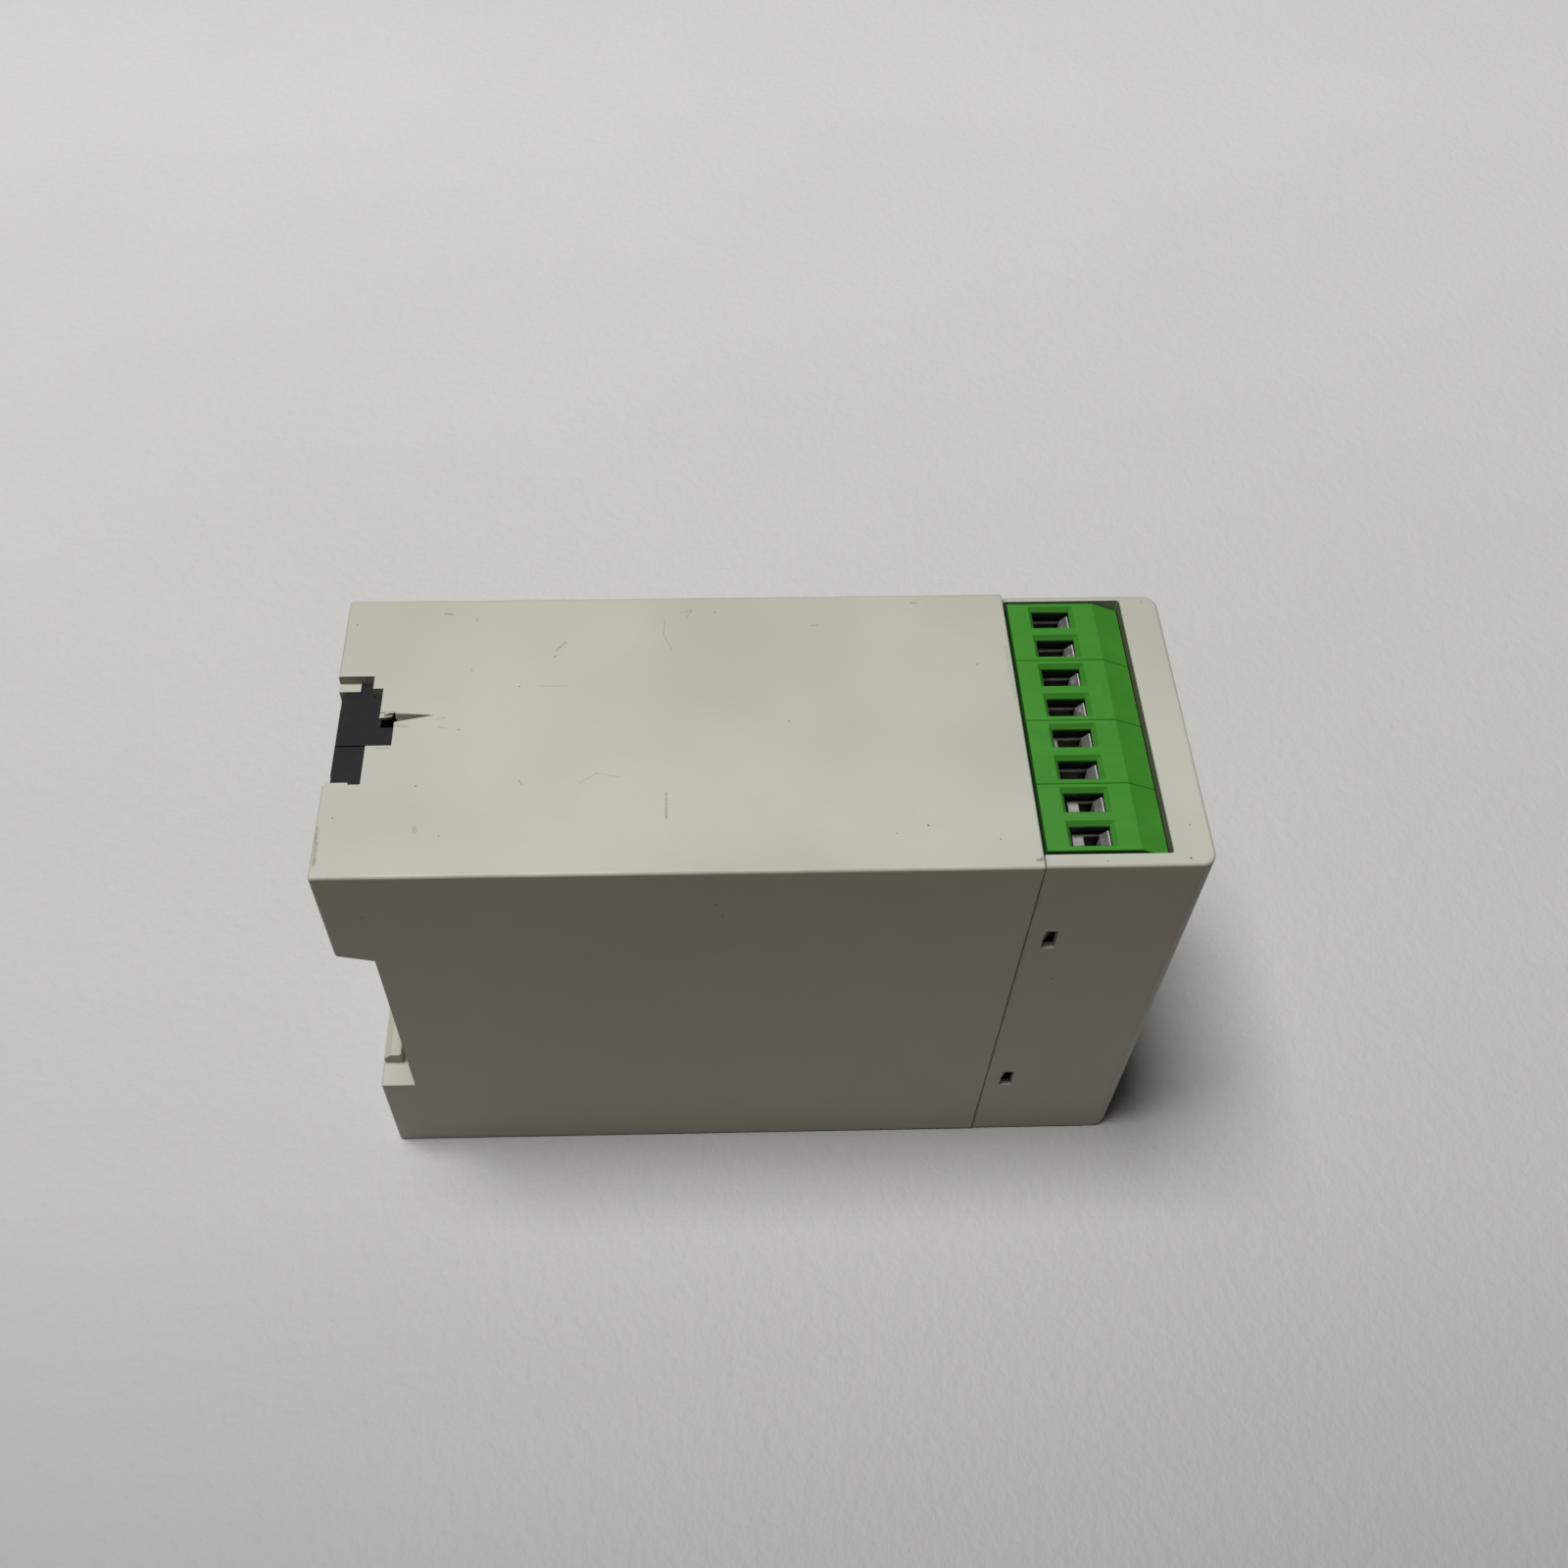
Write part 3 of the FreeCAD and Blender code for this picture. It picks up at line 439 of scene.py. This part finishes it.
def dressHousing():
    low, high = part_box("case")
    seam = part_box("front_cover")[1].y
    caseLook = housingLook("agedCase", (low.x, seam, low.z), high, endFaceMarks, endFaceDots)
    # dirt inside the torn edge of the latch slot, and painted shade on the walls of the slot itself
    tone = Sock(caseLook, caseLook.shader.inputs["Base Color"].links[0].from_socket)
    x, y, z = caseLook.axes()

    def ramp(value, key):
        return caseLook.step(value, *(edge * mm for edge in slotSoilAndShade[key]))

    below = caseLook.step(z, high.z - slotSoilAndShade["lipStart"] * mm, high.z - slotSoilAndShade["lipFull"] * mm)
    torn = stroke(caseLook, slotSoilAndShade["tornFrom"], slotSoilAndShade["tornTo"], slotSoilAndShade["tornWidth"]) * below
    tone = caseLook.blend(torn * 0.85, tone, housing["torn"])
    # painted shade on the far wall of the slot beyond the ledge
    slotWall = below * ramp(z, "wallBottom") * ramp(y, "wallRear") * ramp(x, "wallNear") * ramp(x, "wallFar")
    tone = caseLook.blend(slotWall * 0.35, tone, housing["stainAndShade"])
    # painted shade: the depth of the stem slot is painted nearly black
    deep = ramp(z, "deepTop") * ramp(z, "deepBottom") * ramp(caseLook.maths("ABSOLUTE", x), "deepHalf")
    deep = deep * ramp(y, "deepFront") * ramp(y, "deepRear")
    caseLook.colour(caseLook.blend(deep * 0.92, tone, housing["shadow"]))
    setLook(["case"], caseLook)
    low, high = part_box("front_cover")
    coverLook = housingLook("agedCover", low, (high.x, seam, high.z), [], coverDots)
    # soil and painted shade in the gap between the terminals and the front wall of their opening
    tone = Sock(coverLook, coverLook.shader.inputs["Base Color"].links[0].from_socket)
    x, y, z = coverLook.axes()
    gapWall = coverLook.step(coverLook.maths("ABSOLUTE", y - housing["gapWall"] * mm), 0.14 * mm, 0.08 * mm)
    gapWall = gapWall * coverLook.step(coverLook.maths("ABSOLUTE", z), 37.30 * mm, 37.05 * mm)
    gapWall = gapWall * coverLook.step(coverLook.maths("ABSOLUTE", x), 21.2 * mm, 21.0 * mm)
    # soil and painted shade, in the torn colour
    coverLook.colour(coverLook.blend(gapWall * 0.85, tone, housing["torn"]))
    setLook(["front_cover"], coverLook)


burr = {
    "start": (2.9, -2.9),
    "end": (2.5, -1.6),
    "width": 0.35,
    "lift": 0.25,
    "thick": 0.16,
    "steps": 8,
}


def makeBurr():
    # a strip of plastic peeled up beside the torn edge, extruded along its curl
    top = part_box("case")[1].z
    strip = bmesh.new()
    start, end = Vector((*burr["start"], 0)) * mm, Vector((*burr["end"], 0)) * mm
    turn = Matrix.Rotation(math.pi / 2, 4, "X")
    bmesh.ops.create_grid(strip, x_segments=2, y_segments=1, size=0.5, matrix=turn)
    bmesh.ops.scale(strip, verts=strip.verts, vec=(burr["width"] * mm, 1, burr["thick"] * mm))
    bmesh.ops.translate(strip, verts=strip.verts, vec=start + Vector((0, 0, top - 0.02 * mm)))
    front = list(strip.faces)
    reached = 0.0
    for step in range(1, burr["steps"] + 1):
        part = step / burr["steps"]
        height = math.sin(part * 2.4) * burr["lift"] * mm
        grown = bmesh.ops.extrude_face_region(strip, geom=front)["geom"]
        edge = [item for item in grown if isinstance(item, bmesh.types.BMVert)]
        bmesh.ops.delete(strip, geom=front, context="FACES_ONLY")
        front = [item for item in grown if isinstance(item, bmesh.types.BMFace)]
        forward = (end - start) / burr["steps"] + Vector((0, 0, height - reached))
        bmesh.ops.translate(strip, verts=edge, vec=forward)
        middle = sum((v.co for v in edge), Vector()) / len(edge)
        bmesh.ops.scale(strip, verts=edge, vec=(0.9, 1, 0.94), space=Matrix.Translation(-middle))
        reached = height
    bmesh.ops.recalc_face_normals(strip, faces=strip.faces)
    sliver = keep(strip, "tornSliver", smooth=True)
    look = mouldedLook("tornPlastic", (0.46, 0.43, 0.35), 0.6, (0.30, 0.22, 0.15), 0.2)
    sliver.data.materials.append(look.material)
    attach(sliver, "housing")


# ---- terminals ----
terminals = {
    "green": (0.040, 0.205, 0.020),
    "pale": (0.060, 0.250, 0.030),
    "deep": (0.024, 0.130, 0.012),
    "dust": (0.300, 0.290, 0.230),
    # painted shade inside the wire chambers: this colour and the limits below
    "soil": (0.020, 0.017, 0.012),
    "chamberShadeStart": 36.5,
    "chamberShadeFull": 36.0,
    "chamberShadeFront": -98.2,
    "roughness": 0.42,
}


def greenLook():
    look = Look("terminalGreen", Roughness=terminals["roughness"])
    look.shader.inputs["Specular IOR Level"].default_value = 0.3
    flow = look.node("ShaderNodeTexNoise", None,
                     {"Vector": look.stretched((160, 60, 160)), "Scale": 1.0, "Detail": 3.0, "Roughness": 0.6})
    fine = look.noise(0.25, 3.0, 0.7)
    tone = look.blend(look.step(flow, 0.35, 0.75) * 0.55, terminals["green"], terminals["pale"])
    tone = look.blend(look.step(fine, 0.50, 0.85) * 0.30, tone, terminals["deep"])
    settled = look.step(look.noise(2.6, 4.0, 0.65), 0.60, 0.76)
    tone = look.blend(settled * 0.05, tone, terminals["dust"])
    dots = specks(look, 1.9, 0.06, 0.20)
    tone = look.blend(dots * 0.55, tone, terminals["dust"])
    # painted shade: near-black inside the wire chambers
    _, y, z = look.axes()
    chamberShadeMask = look.step(look.maths("ABSOLUTE", z), terminals["chamberShadeStart"] * mm, terminals["chamberShadeFull"] * mm)
    chamberShadeMask = chamberShadeMask * look.step(y, terminals["chamberShadeFront"] * mm, (terminals["chamberShadeFront"] + 0.5) * mm)
    # painted shade in the near-black soil colour
    tone = look.blend(chamberShadeMask * 0.9, tone, terminals["soil"])
    look.colour(tone)
    look.rough(fine * 0.16 + settled * 0.14 + (terminals["roughness"] - 0.08))
    look.bump(fine * 0.7 + flow * 0.3, 0.014, 0.6)
    return look


metals = {
    "clampTone": (0.58, 0.57, 0.53),
    "clampStain": (0.22, 0.18, 0.13),
    # painted shade for the clamps below their rim
    "clampShade": (0.030, 0.022, 0.015),
    "barTone": (0.80, 0.79, 0.75),
    "barStain": (0.42, 0.38, 0.32),
    "screwTone": (0.62, 0.61, 0.57),
    "screwStain": (0.20, 0.17, 0.12),
}


def metalLook(name, tone, stain, roughness, grainScale=(300, 300, 300), stained=0.5):
    look = Look(name, Metallic=1.0, Roughness=roughness)
    brushed = look.node("ShaderNodeTexNoise", None,
                        {"Vector": look.stretched(grainScale), "Scale": 6.0, "Detail": 3.0, "Roughness": 0.7})
    cloud = look.noise(1.1, 4.0, 0.65)
    spots = look.step(cloud, 0.50, 0.70)
    tint = look.blend(spots * stained, tone, stain)
    tint = look.blend(look.step(brushed, 0.3, 0.8) * 0.25, tint, [c * 0.7 for c in tone])
    look.colour(tint)
    look.rough(brushed * 0.18 + spots * 0.18 + (roughness - 0.09))
    look.bump(brushed + cloud * 0.3, 0.010, 0.6)
    return look


def dressTerminals():
    green = greenLook()
    setLook([name for name in nodes if name.startswith("terminal_block")], green)
    clamp = metalLook("platedClamp", metals["clampTone"], metals["clampStain"], 0.42)
    # painted shade: near-black below the rim, their plated tone only where they come up to the end faces
    plated = Sock(clamp, clamp.shader.inputs["Base Color"].links[0].from_socket)
    shown = clamp.step(clamp.maths("ABSOLUTE", clamp.axes()[2]), 34.0 * mm, 34.3 * mm)
    clamp.colour(clamp.blend(shown, metals["clampShade"], plated))
    setLook([name for name in nodes if name.startswith("wire_clamp")], clamp)
    bar = metalLook("tinnedBar", metals["barTone"], metals["barStain"], 0.46, (120, 120, 900), 0.35)
    setLook(["contact_bars"], bar)
    screw = metalLook("platedScrew", metals["screwTone"], metals["screwStain"], 0.38)
    setLook([name for name in nodes if name.startswith("terminal_screw")], screw)


# ---- rail latch and its spring ----
latch = {
    "black": (0.0068, 0.0070, 0.0069),
    "grey": (0.0125, 0.0128, 0.0125),
    "chalk": (0.30, 0.30, 0.28),
    "roughness": 0.58,
}


def latchLook():
    look = Look("latchBlack", Roughness=latch["roughness"])
    look.shader.inputs["Specular IOR Level"].default_value = 0.24
    fine = look.noise(0.3, 3.0, 0.7)
    worn = look.noise(3.5, 4.0, 0.6)
    tone = look.blend(look.step(worn, 0.42, 0.75) * 0.6, latch["black"], latch["grey"])
    scored = look.most(hairlines(look, 2.6, 0.5, 0.035, 0.16), hairlines(look, 1.4, 0.3, 0.02, 0.10))
    tone = look.blend(scored * 0.40, tone, latch["chalk"])
    dots = specks(look, 1.6, 0.05, 0.12)
    tone = look.blend(dots * 0.35, tone, latch["chalk"])
    look.colour(tone)
    look.rough(fine * 0.20 + worn * 0.12 + scored * 0.2 + (latch["roughness"] - 0.14))
    look.bump(fine - scored * 0.8, 0.02, 0.6)
    return look


spring = {
    "radius": 1.6,
    "wire": 0.225,
    "turns": 7,
    "stepsPerTurn": 26,
    "place": (0.25, 2.4),
    "low": 22.28,
    "high": 29.72,
    "endTurns": 0.75,
}


def makeSpring():
    # wound with one spin per stretch: closed end, open coils, closed end
    body = bmesh.new()
    bmesh.ops.create_circle(
        body, cap_ends=True, segments=10, radius=spring["wire"] * mm,
        matrix=Matrix.Translation((spring["radius"] * mm, 0, 0)) @ Matrix.Rotation(math.pi / 2, 4, "X"))
    front = list(body.faces)
    rise = spring["high"] - spring["low"]
    closed = spring["wire"] * 2.05 * spring["endTurns"]
    stretches = ((spring["endTurns"], closed), (spring["turns"], rise - 2 * closed), (spring["endTurns"], closed))
    for turns, height in stretches:
        steps = round(turns * spring["stepsPerTurn"])
        wound = bmesh.ops.spin(body, geom=front, cent=(0, 0, 0), axis=(0, 0, 1), angle=turns * math.tau,
                               steps=steps, dvec=(0, 0, height * mm / steps), use_merge=False,
                               use_duplicate=False)
        front = [item for item in wound["geom_last"] if isinstance(item, bmesh.types.BMFace)]
    bmesh.ops.translate(body, verts=body.verts,
                        vec=(spring["place"][0] * mm, spring["place"][1] * mm, spring["low"] * mm))
    bmesh.ops.recalc_face_normals(body, faces=body.faces)
    coil = keep(body, "latchSpring", smooth=True)
    look = metalLook("springWire", (0.60, 0.60, 0.58), (0.25, 0.19, 0.13), 0.30, (900, 900, 200), 0.3)
    coil.data.materials.append(look.material)
    joint = next(j for j in frame["joints"] if j["name"] == "latch_slide")
    rest = (spring["high"] - spring["low"] + 2 * spring["wire"]) * mm
    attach(coil, "housing")
    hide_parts("latch_spring")
    (rest - joint["range_m"][1]) / rest
    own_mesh(coil)


# ---- boards and their parts ----
inside = {
    "mask": (0.012, 0.105, 0.045),
    "track": (0.020, 0.170, 0.070),
    "aluminium": (0.72, 0.73, 0.74),
}


def boardLook():
    look = Look("boardLaminate", Roughness=0.35)
    weave = look.node("ShaderNodeTexWave", {"wave_type": "BANDS", "bands_direction": "DIAGONAL"},
                      {"Vector": look.place, "Scale": 420.0, "Distortion": 6.0, "Detail": 1.0, "Detail Scale": 60.0})
    runs = look.step(weave, 0.55, 0.62)
    tone = look.blend(runs, inside["mask"], inside["track"])
    haze = look.noise(5, 3.0)
    tone = look.blend(look.step(haze, 0.5, 0.8) * 0.2, tone, (0.10, 0.16, 0.10))
    look.colour(tone)
    look.rough(haze * 0.2 + 0.25)
    look.bump(runs, 0.03, 0.6)
    return look


def sinkLook():
    look = Look("extrudedSink", Metallic=1.0, Roughness=0.38)
    drawn = look.node("ShaderNodeTexNoise", None,
                      {"Vector": look.stretched((2200, 2200, 40)), "Scale": 1.0, "Detail": 3.0, "Roughness": 0.6})
    cloud = look.noise(9, 3.0)
    tone = look.blend(look.step(drawn, 0.3, 0.7) * 0.35, inside["aluminium"], (0.50, 0.51, 0.52))
    tone = look.blend(look.step(cloud, 0.5, 0.8) * 0.2, tone, (0.40, 0.40, 0.39))
    look.colour(tone)
    look.rough(drawn * 0.2 + cloud * 0.1 + 0.25)
    look.bump(drawn, 0.02, 0.5)
    return look


def mouldedLook(name, tone, roughness=0.5, second=None, grain=0.4):
    look = Look(name, Roughness=roughness)
    fine = look.noise(grain, 3.0, 0.65)
    wide = look.noise(4.5, 3.0)
    other = second or [c * 0.7 for c in tone]
    tint = look.blend(look.step(wide, 0.4, 0.75) * 0.4, tone, other)
    tint = look.blend(specks(look, 2.2, 0.08, 0.2) * 0.4, tint, (0.30, 0.28, 0.24))
    look.colour(tint)
    look.rough(fine * 0.2 + wide * 0.1 + (roughness - 0.14))
    look.bump(fine, 0.015, 0.6)
    return look


def bandedLook():
    # resistor bodies with colour bands along their length
    look = Look("resistorBody", Roughness=0.5)
    middle = (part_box("snubber_resistors")[0].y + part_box("snubber_resistors")[1].y) / 2
    along = look.axes()[1] - middle
    tone = look.blend(look.noise(0.5, 2.0) * 0.3, (0.20, 0.36, 0.46), (0.30, 0.46, 0.54))
    bands = ((-3.0, (0.30, 0.12, 0.03)), (-1.2, (0.015, 0.015, 0.015)), (0.6, (0.45, 0.02, 0.02)),
             (3.2, (0.60, 0.42, 0.10)))
    for spot, tint in bands:
        gap = look.maths("ABSOLUTE", along - spot * mm)
        tone = look.blend(look.step(gap, 0.0005, 0.0004), tone, tint)
    wire = look.step(look.maths("ABSOLUTE", along), 0.00505, 0.0051)
    tone = look.blend(wire, tone, (0.62, 0.61, 0.58))
    look.colour(tone)
    look.feed(look.shader.inputs["Metallic"], wire)
    fine = look.noise(0.2, 3.0)
    look.rough(fine * 0.2 + 0.4)
    look.bump(fine, 0.01, 0.5)
    return look


def clearLook():
    look = Look("clearPipe", Roughness=0.16, IOR=1.49)
    look.shader.inputs["Transmission Weight"].default_value = 0.75
    haze = look.noise(1.5, 3.0)
    look.colour(look.blend(haze * 0.4, (0.86, 0.88, 0.86), (0.66, 0.70, 0.66)))
    look.rough(haze * 0.14 + 0.10)
    look.bump(haze, 0.01, 0.4)
    return look


def labelLook():
    look = Look("blankLabel", Roughness=0.42)
    low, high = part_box("front_label")
    x, _, z = look.axes()
    fromSide = look.least(x - low.x, high.x - x)
    fromEnd = look.least(z - low.z, high.z - z)
    margin = look.least(fromSide, fromEnd)
    fine = look.noise(0.3, 3.0)
    soil = look.noise(9, 4.0, 0.6)
    tone = look.blend(look.step(soil, 0.45, 0.75) * 0.4, (0.60, 0.60, 0.57), (0.50, 0.48, 0.42))
    frameLine = look.step(look.maths("ABSOLUTE", margin - 1.4 * mm), 0.22 * mm, 0.16 * mm)
    tone = look.blend(frameLine * 0.75, tone, (0.16, 0.17, 0.18))
    scuffs = hairlines(look, 6, 1.8, 0.04, 0.4)
    tone = look.blend(scuffs * 0.3, tone, (0.30, 0.28, 0.24))
    look.colour(tone)
    look.rough(soil * 0.16 + fine * 0.1 + 0.28)
    look.bump(fine - scuffs, 0.01, 0.5)
    return look


def dressInside():
    setLook(["front_board", "main_board"], boardLook())
    setLook(["heat_sink"], sinkLook())
    setLook(["board_connector"], mouldedLook("connectorBlack", (0.018, 0.018, 0.018)))
    setLook(["connector_pins"], metalLook("goldPins", (0.83, 0.62, 0.25), (0.40, 0.26, 0.10), 0.3))
    setLook(["power_triacs"], mouldedLook("triacEpoxy", (0.022, 0.022, 0.024), 0.55, grain=0.2))
    setLook(["thermal_pads"], mouldedLook("padGrey", (0.30, 0.33, 0.36), 0.75))
    setLook(["heat_sink_screws"], metalLook("panScrews", (0.64, 0.63, 0.57), (0.25, 0.22, 0.15), 0.35))
    setLook(["optocouplers"], mouldedLook("couplerWhite", (0.62, 0.61, 0.56), 0.45))
    setLook(["snubber_capacitors"], mouldedLook("capacitorYellow", (0.62, 0.40, 0.035), 0.35))
    setLook(["varistors"], mouldedLook("varistorBlue", (0.018, 0.080, 0.34), 0.30))
    setLook(["snubber_resistors"], bandedLook())
    setLook(["indicator_leds"], mouldedLook("ledRed", (0.42, 0.016, 0.012), 0.25))
    setLook(["light_pipes"], clearLook())
    setLook(["front_label"], labelLook())


addCamera()
addRoom()
print("camera, floor and light are in")
dressHousing()
makeBurr()
print("housing dressed")
dressTerminals()
setLook(["rail_latch"], latchLook())
makeSpring()
print("terminals, latch and spring done")
dressInside()
print("inside dressed")
